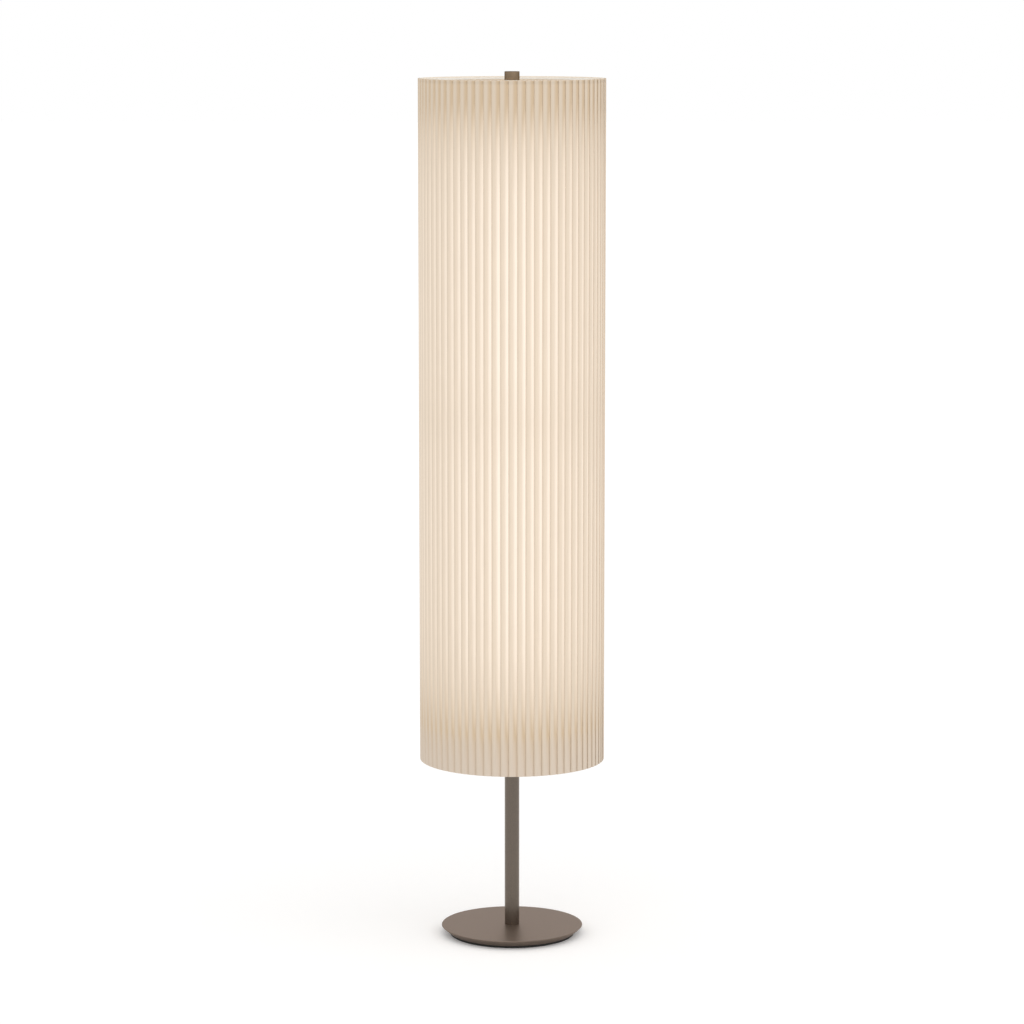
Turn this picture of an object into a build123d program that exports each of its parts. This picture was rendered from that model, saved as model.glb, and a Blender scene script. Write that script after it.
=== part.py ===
from build123d import *
import os
from math import cos, radians, sin

# Pleated shade floor lamp, in millimetres, +Z up and the front towards -Y.
# The origin is on the floor at the centre of the base.

# Base: a turned steel disc, its rim sloping in below the top edge, on a rubber ring
base_radius = 136.0
base_thickness = 12.6
rim_slope = 15.1  # how far the rim runs in from its top edge to its lower edge
base_edge_round = 0.8
foot_height = 4.7  # rubber that stands proud below the disc
foot_inset = 2.0  # from the lower edge of the rim to the rubber
foot_width = 7.0
foot_sink = 1.2  # depth of the groove that holds the rubber

# Pocket under the disc, closed by a cover plate
well_radius = 42.0
well_roof = 3.6  # steel left above the pocket
cover_lap = 6.0
cover_thickness = 1.2
cover_screw_count = 3
cover_screw_angle = 60.0  # the first of them, clear of the cord's bore

# Cord gland, a rubber bush in a bore through the rear of the disc
gland_radius = 4.0
gland_bore = 2.9
gland_length = 16.0
gland_flange_radius = 5.2
gland_flange = 2.6
gland_inset = 14.5  # from the disc's top edge to the seat of the flange

# Terminal block beside the nut
terminal_width = 12.0
terminal_depth = 14.0
terminal_offset = 21.0  # from the lamp's axis to the block's middle
terminal_gap = 0.3  # above the cover plate
terminal_hole_radius = 1.5
terminal_hole_depth = 4.0
terminal_hole_spread = 6.0

# Stem: one steel tube, with a threaded plug at each end
stem_radius = 14.0
stem_wall = 1.5
foot_plug_height = 28.0
nipple_radius = 5.0
nipple_bore = 3.4
nipple_reach = 22.0  # thread above the top of the disc
washer_radius = 11.0
washer_thickness = 0.8
nut_across_flats = 17.0
nut_height = 3.6
top_plug_length = 25.0
top_plug_flange = 3.0

# Shade: knife pleats glued round a stiff translucent liner between two wire rings
shade_bottom = 342.0
shade_radius = 175.0  # over the outer folds
pleat_count = 70
pleat_lap = 0.35  # share of a pitch that lies three layers deep
pleat_phase = 0.85  # where the first outer fold lies, in pitches from the front
cloth_thickness = 0.5
layer_step = 1.1  # from one layer of a fold to the next, centre to centre
liner_thickness = 0.9
glue_gap = 0.15
ring_wire_radius = 2.0
ring_inset = 5.0  # from a rim of the shade to the middle of its wire ring

# Top spider: a hub on the stem's end, with wires sloping up to the ring
hub_radius = 17.0
hub_thickness = 5.0
hub_recess = 6.5  # from the top rim down to the hub
spider_arm_radius = 2.0
spider_arm_count = 3
spider_arm_sink = 6.0  # length of an arm inside the hub
front_angle = -90.0

# Finial: a plain knob with a captive screw
finial_radius = 14.0
finial_height = 19.0
finial_edge_round = 0.8
finial_foot_chamfer = 0.4
finial_screw_radius = 4.0
finial_screw_grip = 12.0  # length of the screw inside the knob
finial_screw_reach = 20.0  # length of the screw below the hub
screw_end_gap = 2.0
clip_radius = 7.2
clip_thickness = 1.0
clip_groove_depth = 0.8
clip_gap = 0.3
clip_mouth = 4.5
clip_pocket_gap = 1.0

# Light: two tiers of straight push-in tubes, one before and one behind the stem
tube_rise = 142.5  # from the shade's bottom rim to the lower tubes
tube_head_room = 97.6  # from the upper tubes' heads to the shade's top rim
tube_length = 500.0
tube_radius = 15.0
tube_wall = 1.0
tier_gap = 46.0  # from the lower tubes' tops to the upper tubes' feet
cap_length = 30.0
cap_wall = 0.8
cap_end = 3.0
cap_edge_round = 1.0
peg_inset = 15.0  # from the tube's end to the middle of its peg
peg_radius = 7.0
peg_depth = 13.0  # inside the socket
pin_radius = 2.0
pin_length = 2.0
board_width = 12.0
board_thickness = 1.2
tube_gap = 1.5  # between a tube's cap and the face of its holder

# Lampholders, screwed to a U-shaped steel bracket at each end of a tier
holder_width = 27.0
holder_depth = 20.0
holder_height = 34.0
holder_round = 3.0
socket_depth = 16.0
holder_screw_spread = 24.0
holder_screw_length = 8.0  # inside the holder
bracket_sheet = 2.0
bracket_bend = 3.0
bracket_margin = 6.0  # sheet on each side of the stem
bracket_corner_round = 6.0
bracket_end_gap = 6.0  # from a tube's end to the bracket's web
flange_margin = 3.0  # flange beyond the holder
collar_wall = 5.0
collar_height = 12.0
collar_edge = 0.8
flange_clearance = 10.0  # from a collar to the flanges

# Lower centring star, which keeps the shade's bottom ring round the stem
star_arm_radius = 2.0
star_arm_sink = 4.0
star_tip_radius = 4.0
star_tip_length = 12.0
star_tip_grip = 8.0
star_tip_gap = 0.35

# Wiring inside the stem
lead_radius = 2.5
branch_radius = 1.5
tail_radius = 1.2
wire_hole_radius = 3.0
lead_end = 0.2  # the lead goes on this far past its first and its last branch

# Small screws
screw_radius = 1.5
screw_head_radius = 2.6
screw_head = 1.6
cover_screw_length = 5.5
collar_screw_radius = 1.25
collar_screw_head_radius = 2.2
collar_screw_length = 8.0
set_screw_radius = 2.0
set_screw_angle = 45.0

# Clearances
slip_fit = 0.05  # radial, between turned pieces
thread_fit = 0.03
running_fit = 0.08
loose_fit = 0.2
cut_past = 1.0  # how far a cutter runs past the face it opens
same_place = 0.01  # closer than this, two corners are one

# Heights and radii that follow
disc_bottom = foot_height
disc_top = disc_bottom + base_thickness
well_ceiling = disc_top - well_roof
cover_top = disc_bottom + cover_thickness
cover_screw_circle = well_radius + cover_lap / 2
foot_radius = base_radius - rim_slope - foot_inset
gland_seat = base_radius - gland_inset
gland_height = disc_bottom + base_thickness / 2
washer_bottom = well_ceiling - washer_thickness
nut_bottom = washer_bottom - nut_height
tail_height = cover_top + terminal_gap + tail_radius
stem_bore = stem_radius - stem_wall

lower_tube = shade_bottom + tube_rise
upper_tube = lower_tube + tube_length + tier_gap
shade_top = upper_tube + tube_length + tube_head_room
shade_height = shade_top - shade_bottom
hub_top = shade_top - hub_recess
hub_bottom = hub_top - hub_thickness
stem_top = hub_bottom - top_plug_flange
fold_outer = shade_radius - cloth_thickness / 2
fold_middle = fold_outer - layer_step
fold_inner = fold_middle - layer_step
liner_radius = fold_inner - cloth_thickness / 2 - glue_gap
ring_radius = liner_radius - liner_thickness - glue_gap - ring_wire_radius
top_ring_height = shade_top - ring_inset
bottom_ring_height = shade_bottom + ring_inset

collar_radius = stem_radius + collar_wall
bracket_width = 2 * (stem_radius + bracket_margin)
bracket_reach = collar_radius + flange_clearance + bracket_sheet
holder_face = bracket_reach + holder_depth
cap_radius = tube_radius + cap_wall
tube_offset = holder_face + tube_gap + cap_radius
flange_length = bracket_end_gap + peg_inset + holder_height / 2 + flange_margin
collar_screw_circle = stem_radius + collar_wall / 2
star_collar_top = bottom_ring_height + collar_height / 2
star_tip_end = ring_radius - ring_wire_radius - star_tip_gap

# Both tiers and both sides of the stem, by the names used for the pieces
tiers = {"lower": lower_tube, "upper": upper_tube}
sides = {"front": -1, "rear": 1}
ends = {"foot": 1, "head": -1}


# Shapes that several pieces share
def disc(radius, low, high, y=0.0):
    height = high - low
    return Pos(0, y, low) * Cylinder(radius, height, align=(Align.CENTER, Align.CENTER, Align.MIN))


def tube(outer, inner, low, high, y=0.0):
    return disc(outer, low, high, y) - disc(inner, low - cut_past, high + cut_past, y)


def rod(start, end, radius):
    along = Vector(*end) - Vector(*start)
    place = Plane(origin=start, z_dir=along)
    return place * Cylinder(radius, along.length, align=(Align.CENTER, Align.CENTER, Align.MIN))


def around(solid, count, first_angle):
    step = 360 / count
    return [Rot(0, 0, first_angle + step * index) * solid for index in range(count)]


def without(solid, cutters):
    for cutter in cutters:
        solid -= cutter
    return solid


def end_height(tier, end, inset):
    """Height of a point that lies inset in from the foot or the head of a tier's tubes."""
    if end == "foot":
        return tiers[tier] + inset
    return tiers[tier] + tube_length - inset


peg_heights = [end_height(tier, end, peg_inset) for tier in tiers for end in ends]


# Base
def make_base_disc():
    rim_foot = base_radius - rim_slope
    outline = Polyline(
        (0, disc_bottom), (rim_foot, disc_bottom), (base_radius, disc_top), (0, disc_top), close=True
    )
    solid = revolve(Plane.XZ * make_face(outline), axis=Axis.Z)
    solid = fillet(solid.edges().group_by(Axis.Z)[-1], base_edge_round)
    solid -= disc(well_radius, disc_bottom - cut_past, well_ceiling)
    solid -= disc(well_radius + cover_lap, disc_bottom - cut_past, cover_top)
    solid -= tube(foot_radius + slip_fit, foot_radius - foot_width - slip_fit,
                  disc_bottom - cut_past, disc_bottom + foot_sink)
    solid -= disc(nipple_radius + loose_fit, disc_bottom, disc_top + cut_past)
    solid -= rod((0, well_radius - cut_past, gland_height), (0, gland_seat + cut_past, gland_height),
                 gland_radius + slip_fit)
    solid -= rod((0, gland_seat, gland_height), (0, base_radius + cut_past, gland_height),
                 gland_flange_radius + slip_fit)
    hole_top = disc_bottom + cover_screw_length + loose_fit
    hole = Pos(cover_screw_circle, 0, 0) * disc(screw_radius + thread_fit, disc_bottom, hole_top)
    return without(solid, around(hole, cover_screw_count, cover_screw_angle))


def make_foot_ring():
    return tube(foot_radius, foot_radius - foot_width, 0, disc_bottom + foot_sink)


def make_base_cover():
    plate = disc(well_radius + cover_lap - loose_fit, disc_bottom, cover_top)
    hole = disc(screw_radius + loose_fit, disc_bottom - cut_past, cover_top + cut_past)
    hole = Pos(cover_screw_circle, 0, 0) * hole
    return without(plate, around(hole, cover_screw_count, cover_screw_angle))


def make_cover_screws():
    head = disc(screw_head_radius, disc_bottom - screw_head, disc_bottom)
    screw = head + disc(screw_radius, disc_bottom, disc_bottom + cover_screw_length)
    return around(Pos(cover_screw_circle, 0, 0) * screw, cover_screw_count, cover_screw_angle)


def make_cord_gland():
    inner_end = (0, gland_seat - gland_length, gland_height)
    seat = (0, gland_seat, gland_height)
    outer_end = (0, gland_seat + gland_flange, gland_height)
    solid = rod(inner_end, seat, gland_radius) + rod(seat, outer_end, gland_flange_radius)
    return solid - rod(inner_end, outer_end, gland_bore)


def make_terminal_block():
    low = cover_top + terminal_gap
    height = well_ceiling - low
    block = Pos(0, terminal_offset, low + height / 2) * Box(terminal_width, terminal_depth, height)
    rear = terminal_offset + terminal_depth / 2
    holes = []
    for x in (-terminal_hole_spread / 2, terminal_hole_spread / 2):
        z = low + height / 2
        holes.append(rod((x, rear - terminal_hole_depth, z), (x, rear, z), terminal_hole_radius))
    return without(block, holes)


# Stem
def make_stem_tube():
    solid = tube(stem_radius, stem_bore, disc_top, stem_top)
    reach = stem_radius + cut_past
    return without(solid, [rod((0, -reach, z), (0, reach, z), wire_hole_radius) for z in peg_heights])


def make_stem_foot_plug():
    return tube(stem_bore - slip_fit, nipple_radius + thread_fit, disc_top, disc_top + foot_plug_height)


def make_stem_nipple():
    return tube(nipple_radius, nipple_bore, nut_bottom, disc_top + nipple_reach)


def make_nipple_washer():
    return tube(washer_radius, nipple_radius + loose_fit, washer_bottom, well_ceiling)


def make_nipple_nut():
    hexagon = RegularPolygon(nut_across_flats / 2, 6, major_radius=False)
    blank = Pos(0, 0, nut_bottom) * extrude(hexagon, nut_height)
    return blank - disc(nipple_radius + thread_fit, nut_bottom - cut_past, washer_bottom + cut_past)


def make_stem_top_plug():
    solid = disc(stem_radius, stem_top, hub_bottom)
    solid += disc(stem_bore - slip_fit, stem_top - top_plug_length, stem_top)
    solid -= disc(clip_radius + clip_pocket_gap, hub_bottom - top_plug_flange, hub_bottom + cut_past)
    bore_bottom = hub_bottom - finial_screw_reach - screw_end_gap
    return solid - disc(finial_screw_radius + running_fit, bore_bottom, hub_bottom)


# Brackets and collars on the stem
def corners_at(profile, height, reach):
    """The two corners of a bracket's outline at one height, one on each side of the stem."""
    return profile.vertices().filter_by(
        lambda corner: abs(corner.Y - height) < same_place and abs(abs(corner.X) - reach) < same_place
    )


def holder_screw_heights(peg):
    return [peg - holder_screw_spread / 2, peg + holder_screw_spread / 2]


def make_bracket(tier, end):
    """A strip bent to a U round the stem, its two flanges pointing along the tubes."""
    up = ends[end]
    web = end_height(tier, end, -bracket_end_gap)
    tip = web + up * flange_length
    back = web - up * bracket_sheet
    inside = bracket_reach - bracket_sheet
    outline = Polyline(
        (-bracket_reach, tip), (-bracket_reach, back), (bracket_reach, back), (bracket_reach, tip),
        (inside, tip), (inside, web), (-inside, web), (-inside, tip), close=True
    )
    profile = make_face(outline)
    profile = fillet(corners_at(profile, back, bracket_reach), bracket_bend)
    profile = fillet(corners_at(profile, web, inside), bracket_bend - bracket_sheet)
    solid = extrude(Plane.YZ * profile, bracket_width / 2, both=True)
    corners = solid.edges().filter_by(Axis.Y).group_by(Axis.Z)[-1 if up > 0 else 0]
    solid = fillet(corners, bracket_corner_round)
    solid -= disc(stem_radius + slip_fit, min(web, back) - cut_past, max(web, back) + cut_past)
    for x in (-collar_screw_circle, collar_screw_circle):
        hole = disc(collar_screw_radius + loose_fit, min(web, back) - cut_past, max(web, back) + cut_past)
        solid -= Pos(x, 0, 0) * hole
    peg = end_height(tier, end, peg_inset)
    reach = bracket_reach + cut_past
    solid -= rod((0, -reach, peg), (0, reach, peg), wire_hole_radius)
    for z in holder_screw_heights(peg):
        solid -= rod((0, -reach, z), (0, reach, z), screw_radius + loose_fit)
    return solid


def collar_top(tier, end):
    """A collar carries each bracket from below its web."""
    web = end_height(tier, end, -bracket_end_gap)
    return web - bracket_sheet if end == "foot" else web


def make_collar(top):
    solid = disc(collar_radius, top - collar_height, top)
    solid = chamfer(solid.edges(), collar_edge)
    solid -= disc(stem_radius + slip_fit, top - collar_height - cut_past, top + cut_past)
    middle = (0, 0, top - collar_height / 2)
    outside = (collar_radius + cut_past, 0, top - collar_height / 2)
    return solid - Rot(0, 0, set_screw_angle) * rod(middle, outside, set_screw_radius + thread_fit)


def make_bracket_collar(tier, end):
    top = collar_top(tier, end)
    solid = make_collar(top)
    for x in (-collar_screw_circle, collar_screw_circle):
        depth = collar_screw_length + loose_fit
        solid -= Pos(x, 0, 0) * disc(collar_screw_radius + thread_fit, top - depth, top + cut_past)
    return solid


def make_bracket_screws():
    screws = []
    for tier in tiers:
        for end in ends:
            top = collar_top(tier, end)
            head_seat = top + bracket_sheet
            screw = disc(collar_screw_radius, top - collar_screw_length, head_seat)
            screw += disc(collar_screw_head_radius, head_seat, head_seat + screw_head)
            screws += [Pos(x, 0, 0) * screw for x in (-collar_screw_circle, collar_screw_circle)]
    return screws


def make_set_screws():
    tops = [collar_top(tier, end) for tier in tiers for end in ends] + [star_collar_top]
    screws = []
    for top in tops:
        z = top - collar_height / 2
        screw = rod((stem_radius + slip_fit, 0, z), (collar_radius - slip_fit, 0, z), set_screw_radius)
        screws.append(Rot(0, 0, set_screw_angle) * screw)
    return screws


# Lampholders and their screws
def make_holder(tier, side, end):
    peg = end_height(tier, end, peg_inset)
    out = sides[side]
    middle = bracket_reach + holder_depth / 2
    solid = Pos(0, out * middle, peg) * Box(holder_width, holder_depth, holder_height)
    face = solid.faces().sort_by(Axis.Y)[-1 if out > 0 else 0]
    solid = fillet(face.edges(), holder_round)
    socket_end = out * (holder_face - socket_depth)
    solid -= rod((0, socket_end, peg), (0, out * (holder_face + cut_past), peg), peg_radius + running_fit)
    for z in holder_screw_heights(peg):
        hole_end = out * (bracket_reach + holder_screw_length + loose_fit)
        solid -= rod((0, out * bracket_reach, z), (0, hole_end, z), screw_radius + thread_fit)
    return solid


def make_holder_screws():
    screws = []
    for peg in peg_heights:
        for z in holder_screw_heights(peg):
            for out in sides.values():
                seat = out * (bracket_reach - bracket_sheet)
                head = rod((0, seat - out * screw_head, z), (0, seat, z), screw_head_radius)
                shank_end = out * (bracket_reach + holder_screw_length)
                screws.append(head + rod((0, seat, z), (0, shank_end, z), screw_radius))
    return screws


# Light tubes
def make_tube_glass(tier, side):
    foot = tiers[tier]
    y = sides[side] * tube_offset
    return tube(tube_radius, tube_radius - tube_wall, foot + cap_end, foot + tube_length - cap_end, y)


def make_tube_caps(tier, side):
    out = sides[side]
    y = out * tube_offset
    caps = []
    for end, up in ends.items():
        tip = end_height(tier, end, 0)
        mouth = end_height(tier, end, cap_length)
        floor = end_height(tier, end, cap_end)
        peg = end_height(tier, end, peg_inset)
        solid = disc(cap_radius, min(tip, mouth), max(tip, mouth), y)
        solid = fillet(solid.edges().group_by(Axis.Z)[0 if up > 0 else -1], cap_edge_round)
        peg_tip = out * (holder_face - peg_depth)
        pin_tip = peg_tip - out * pin_length
        solid += rod((0, y, peg), (0, peg_tip, peg), peg_radius)
        solid += rod((0, y, peg), (0, pin_tip, peg), pin_radius)
        past = mouth + up * cut_past
        solid -= disc(tube_radius + thread_fit, min(floor, past), max(floor, past), y)
        caps.append(solid)
    return caps


def make_tube_board(tier, side):
    length = tube_length - 2 * cap_end
    z = tiers[tier] + tube_length / 2
    return Pos(0, sides[side] * tube_offset, z) * Box(board_width, board_thickness, length)


# Wiring from the terminal block up the stem to every lampholder
def make_wiring_lead():
    terminal_face = terminal_offset - terminal_depth / 2
    low = tail_height - tail_radius - lead_end
    high = max(peg_heights) + branch_radius + lead_end
    solid = disc(lead_radius, low, high)
    solid += rod((0, 0, tail_height), (0, terminal_face, tail_height), tail_radius)
    for z in peg_heights:
        solid += rod((0, -bracket_reach, z), (0, bracket_reach, z), branch_radius)
    return solid


# Lower centring star
def star_arm():
    z = bottom_ring_height
    start = collar_radius - star_arm_sink
    end = star_tip_end - star_tip_length + star_tip_grip
    return rod((start, 0, z), (end, 0, z), star_arm_radius)


def make_star_collar():
    start = (collar_radius - star_arm_sink, 0, bottom_ring_height)
    end = (collar_radius + cut_past, 0, bottom_ring_height)
    hole = rod(start, end, star_arm_radius + thread_fit)
    return without(make_collar(star_collar_top), around(hole, spider_arm_count, front_angle))


def make_star_arms():
    return around(star_arm(), spider_arm_count, front_angle)


def make_star_tips():
    z = bottom_ring_height
    start = star_tip_end - star_tip_length
    tip = rod((start, 0, z), (star_tip_end, 0, z), star_tip_radius)
    tip -= rod((start - cut_past, 0, z), (start + star_tip_grip, 0, z), star_arm_radius + thread_fit)
    return around(tip, spider_arm_count, front_angle)


# Shade
def fold_points():
    """Corners of the cloth's middle line, once round: each pleat doubles back under the next."""
    line = []
    for pleat in range(pleat_count):
        lap_end = pleat + pleat_lap
        line += [(pleat, fold_middle), (pleat, fold_outer), (lap_end, fold_outer)]
        line += [(pleat + 1, fold_inner), (lap_end + 1, fold_inner), (lap_end + 1, fold_middle)]
    corners = []
    for place, radius in line:
        angle = radians(front_angle + 360 * (place + pleat_phase) / pleat_count)
        corners.append(Vector(radius * cos(angle), radius * sin(angle)))
    return corners


def shifted_right(corners, distance):
    """The same closed line moved sideways by one distance, its corners mitred."""
    shifted = []
    for index, corner in enumerate(corners):
        arriving = (corner - corners[index - 1]).normalized()
        leaving = (corners[(index + 1) % len(corners)] - corner).normalized()
        normals = Vector(arriving.Y + leaving.Y, -arriving.X - leaving.X)
        shifted.append(corner + normals * (distance / (1 + arriving.dot(leaving))))
    return shifted


def make_shade_pleats():
    corners = fold_points()
    outer = Wire.make_polygon(shifted_right(corners, cloth_thickness / 2), close=True)
    inner = Wire.make_polygon(shifted_right(corners, -cloth_thickness / 2), close=True)
    return extrude(Pos(0, 0, shade_bottom) * Face(outer, [inner]), shade_height, dir=(0, 0, 1))


def make_shade_liner():
    return tube(liner_radius, liner_radius - liner_thickness, shade_bottom, shade_top)


def make_ring(height):
    return Pos(0, 0, height) * Torus(ring_radius, ring_wire_radius)


def spider_arm_ends():
    return (hub_radius - spider_arm_sink, 0, hub_bottom + hub_thickness / 2), (ring_radius, 0, top_ring_height)


def make_top_arms():
    start, end = spider_arm_ends()
    arm = rod(start, end, spider_arm_radius) - make_ring(top_ring_height)
    return around(arm, spider_arm_count, front_angle)


def make_top_hub():
    start, end = spider_arm_ends()
    solid = tube(hub_radius, finial_screw_radius + running_fit, hub_bottom, hub_top)
    holes = around(rod(start, end, spider_arm_radius + thread_fit), spider_arm_count, front_angle)
    return without(solid, holes)


# Finial
def make_finial_knob():
    solid = disc(finial_radius, hub_top, hub_top + finial_height)
    solid = fillet(solid.edges().group_by(Axis.Z)[-1], finial_edge_round)
    solid = chamfer(solid.edges().group_by(Axis.Z)[0], finial_foot_chamfer)
    return solid - disc(finial_screw_radius + thread_fit, hub_top - cut_past, hub_top + finial_screw_grip)


def make_finial_screw():
    solid = disc(finial_screw_radius, hub_bottom - finial_screw_reach, hub_top + finial_screw_grip)
    groove_top = hub_bottom - clip_gap + slip_fit
    groove_bottom = hub_bottom - clip_gap - clip_thickness
    groove_radius = finial_screw_radius - clip_groove_depth
    return solid - tube(finial_screw_radius + cut_past, groove_radius, groove_bottom, groove_top)


def make_finial_clip():
    inner = finial_screw_radius - clip_groove_depth + slip_fit
    low = hub_bottom - clip_gap - clip_thickness
    solid = tube(clip_radius, inner, low, low + clip_thickness)
    middle = Pos(clip_radius / 2, 0, low + clip_thickness / 2)
    return solid - middle * Box(clip_radius, clip_mouth, 2 * clip_thickness)


def all_parts():
    parts = {
        "base_disc": [make_base_disc()],
        "foot_ring": [make_foot_ring()],
        "base_cover": [make_base_cover()],
        "cover_screws": make_cover_screws(),
        "cord_gland": [make_cord_gland()],
        "terminal_block": [make_terminal_block()],
        "stem_tube": [make_stem_tube()],
        "stem_foot_plug": [make_stem_foot_plug()],
        "stem_nipple": [make_stem_nipple()],
        "nipple_washer": [make_nipple_washer()],
        "nipple_nut": [make_nipple_nut()],
        "stem_top_plug": [make_stem_top_plug()],
        "bracket_screws": make_bracket_screws(),
        "collar_set_screws": make_set_screws(),
        "holder_screws": make_holder_screws(),
        "wiring_lead": [make_wiring_lead()],
        "centring_collar": [make_star_collar()],
        "centring_arms": make_star_arms(),
        "centring_tips": make_star_tips(),
        "shade_pleats": [make_shade_pleats()],
        "shade_liner": [make_shade_liner()],
        "shade_top_ring": [make_ring(top_ring_height)],
        "shade_bottom_ring": [make_ring(bottom_ring_height)],
        "shade_top_arms": make_top_arms(),
        "shade_top_hub": [make_top_hub()],
        "finial_knob": [make_finial_knob()],
        "finial_screw": [make_finial_screw()],
        "finial_clip": [make_finial_clip()],
    }
    for tier in tiers:
        for end in ends:
            parts[f"{tier}_{end}_bracket"] = [make_bracket(tier, end)]
            parts[f"{tier}_{end}_collar"] = [make_bracket_collar(tier, end)]
        for side in sides:
            parts[f"{tier}_{side}_tube_glass"] = [make_tube_glass(tier, side)]
            parts[f"{tier}_{side}_tube_caps"] = make_tube_caps(tier, side)
            parts[f"{tier}_{side}_tube_board"] = [make_tube_board(tier, side)]
            for end in ends:
                parts[f"{tier}_{side}_{end}_holder"] = [make_holder(tier, side, end)]
    return parts


os.makedirs("parts", exist_ok=True)
for name, solids in all_parts().items():
    shape = solids[0] if len(solids) == 1 else Compound(solids)
    export_step(shape, f"parts/{name}.step")
    print(name, len(solids))
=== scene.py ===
import bmesh
import bpy
import math
import random
from mathutils import Matrix, Vector, noise


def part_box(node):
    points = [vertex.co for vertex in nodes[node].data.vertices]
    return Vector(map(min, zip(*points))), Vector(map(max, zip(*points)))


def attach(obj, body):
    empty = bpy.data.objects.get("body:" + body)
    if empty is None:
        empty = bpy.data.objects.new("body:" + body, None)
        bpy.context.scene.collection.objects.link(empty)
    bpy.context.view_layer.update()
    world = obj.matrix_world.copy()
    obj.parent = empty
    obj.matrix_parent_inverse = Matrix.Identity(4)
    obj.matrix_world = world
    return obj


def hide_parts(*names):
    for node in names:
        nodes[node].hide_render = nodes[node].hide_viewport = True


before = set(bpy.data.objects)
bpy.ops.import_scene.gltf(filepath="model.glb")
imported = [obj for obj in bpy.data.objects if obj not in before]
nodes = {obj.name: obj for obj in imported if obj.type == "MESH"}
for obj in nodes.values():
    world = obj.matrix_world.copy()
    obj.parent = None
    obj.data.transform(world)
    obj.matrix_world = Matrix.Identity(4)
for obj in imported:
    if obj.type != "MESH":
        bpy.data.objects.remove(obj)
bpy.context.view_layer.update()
mm = 0.001
print("frame loaded,", len(nodes), "nodes")


# Colours are written as sRGB hex and used as linear
def hexColour(text):
    channels = [int(text[i:i + 2], 16) / 255 for i in (1, 3, 5)]
    return tuple(c / 12.92 if c <= 0.04045 else ((c + 0.055) / 1.055) ** 2.4 for c in channels) + (1.0,)


# Camera: the photograph's view, a little above the lamp's middle and tilted down
camera = {
    "distance": 6.8,      # metres in front of the stem
    "height": 1.7805,
    "tiltDown": 8.085,    # degrees
    "lens": 127.92,       # mm
    "sensor": 36,         # mm
    "reach": 200,         # metres that it sees
}


def makeCamera():
    data = bpy.data.cameras.new("photoCamera")
    data.lens = camera["lens"]
    data.sensor_width = camera["sensor"]
    data.clip_end = camera["reach"]
    view = bpy.data.objects.new("photoCamera", data)
    view.location = (0, -camera["distance"], camera["height"])
    view.rotation_euler = (math.radians(90 - camera["tiltDown"]), 0, 0)
    bpy.context.scene.collection.objects.link(view)
    bpy.context.scene.camera = view


makeCamera()
bpy.context.scene.view_settings.view_transform = "Standard"
print("camera set")


# One small function adds a node: sockets take a value or another node's output
def addNode(tree, kind, sockets=None, **settings):
    node = tree.nodes.new(kind)
    for key, value in settings.items():
        setattr(node, key, value)
    for socket, value in (sockets or {}).items():
        if isinstance(value, bpy.types.NodeSocket):
            tree.links.new(value, node.inputs[socket])
        else:
            node.inputs[socket].default_value = value
    return node


def newMaterial(name):
    material = bpy.data.materials.new(name)
    material.use_nodes = True
    material.node_tree.nodes.clear()
    return material, material.node_tree


def finishMaterial(tree, surface):
    addNode(tree, "ShaderNodeOutputMaterial", {"Surface": surface})


def rampStops(ramp, stops):
    while len(ramp.color_ramp.elements) < len(stops):
        ramp.color_ramp.elements.new(0.5)
    for element, (place, colour) in zip(ramp.color_ramp.elements, stops):
        element.position = place
        element.color = colour


def greys(stops):
    return [(place, (value, value, value, 1)) for place, value in stops]


# Studio: an evenly lit white room with a pale floor, and one broad soft key high in front
studio = {
    "worldLevel": 0.875,      # light on the object; the camera and reflections see plain white
    "worldColour": "#ffffff",
    "keyLevel": 0.17,         # share of a white surface's brightness, facing the key
    "keyColour": "#ffffff",
    "keyHeading": 26,         # degrees from the front towards the right
    "keyHeight": 52,          # degrees above the floor
    "keySpread": 80,          # degrees across, as soft as a large softbox
    "keyDistance": 4,         # metres, which changes nothing in a sun lamp's light
    "floorColour": "#fbfbfb",
    "floorSize": 90,          # metres
    "floorLift": 0.07,        # white added for the camera, so that the open floor is white
}


# 1 for camera, glossy and transmission rays, which see the plain white background
def whiteToTheEye(tree):
    path = addNode(tree, "ShaderNodeLightPath")
    total = path.outputs["Is Camera Ray"]
    for name in ("Is Glossy Ray", "Is Transmission Ray"):
        either = addNode(tree, "ShaderNodeMath", {0: total, 1: path.outputs[name]}, operation="MAXIMUM")
        total = either.outputs[0]
    return total


def makeWorld():
    world = bpy.data.worlds.new("studioRoom")
    world.use_nodes = True
    tree = world.node_tree
    tree.nodes.clear()
    lighting = addNode(tree, "ShaderNodeBackground", {
        0: hexColour(studio["worldColour"]), 1: studio["worldLevel"]})
    seen = addNode(tree, "ShaderNodeBackground", {0: (1, 1, 1, 1), 1: 1.0})
    mix = addNode(tree, "ShaderNodeMixShader", {
        0: whiteToTheEye(tree), 1: lighting.outputs[0], 2: seen.outputs[0]})
    addNode(tree, "ShaderNodeOutputWorld", {"Surface": mix.outputs[0]})
    bpy.context.scene.world = world


def makeKey():
    data = bpy.data.lights.new("softKey", "SUN")
    data.energy = studio["keyLevel"] * math.pi
    data.angle = math.radians(studio["keySpread"])
    data.color = hexColour(studio["keyColour"])[:3]
    key = bpy.data.objects.new("softKey", data)
    heading, height = math.radians(studio["keyHeading"]), math.radians(studio["keyHeight"])
    towards = Vector((math.sin(heading) * math.cos(height),
                      -math.cos(heading) * math.cos(height),
                      math.sin(height)))
    key.rotation_euler = towards.to_track_quat("Z", "Y").to_euler()
    key.location = towards * studio["keyDistance"]
    bpy.context.scene.collection.objects.link(key)


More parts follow.
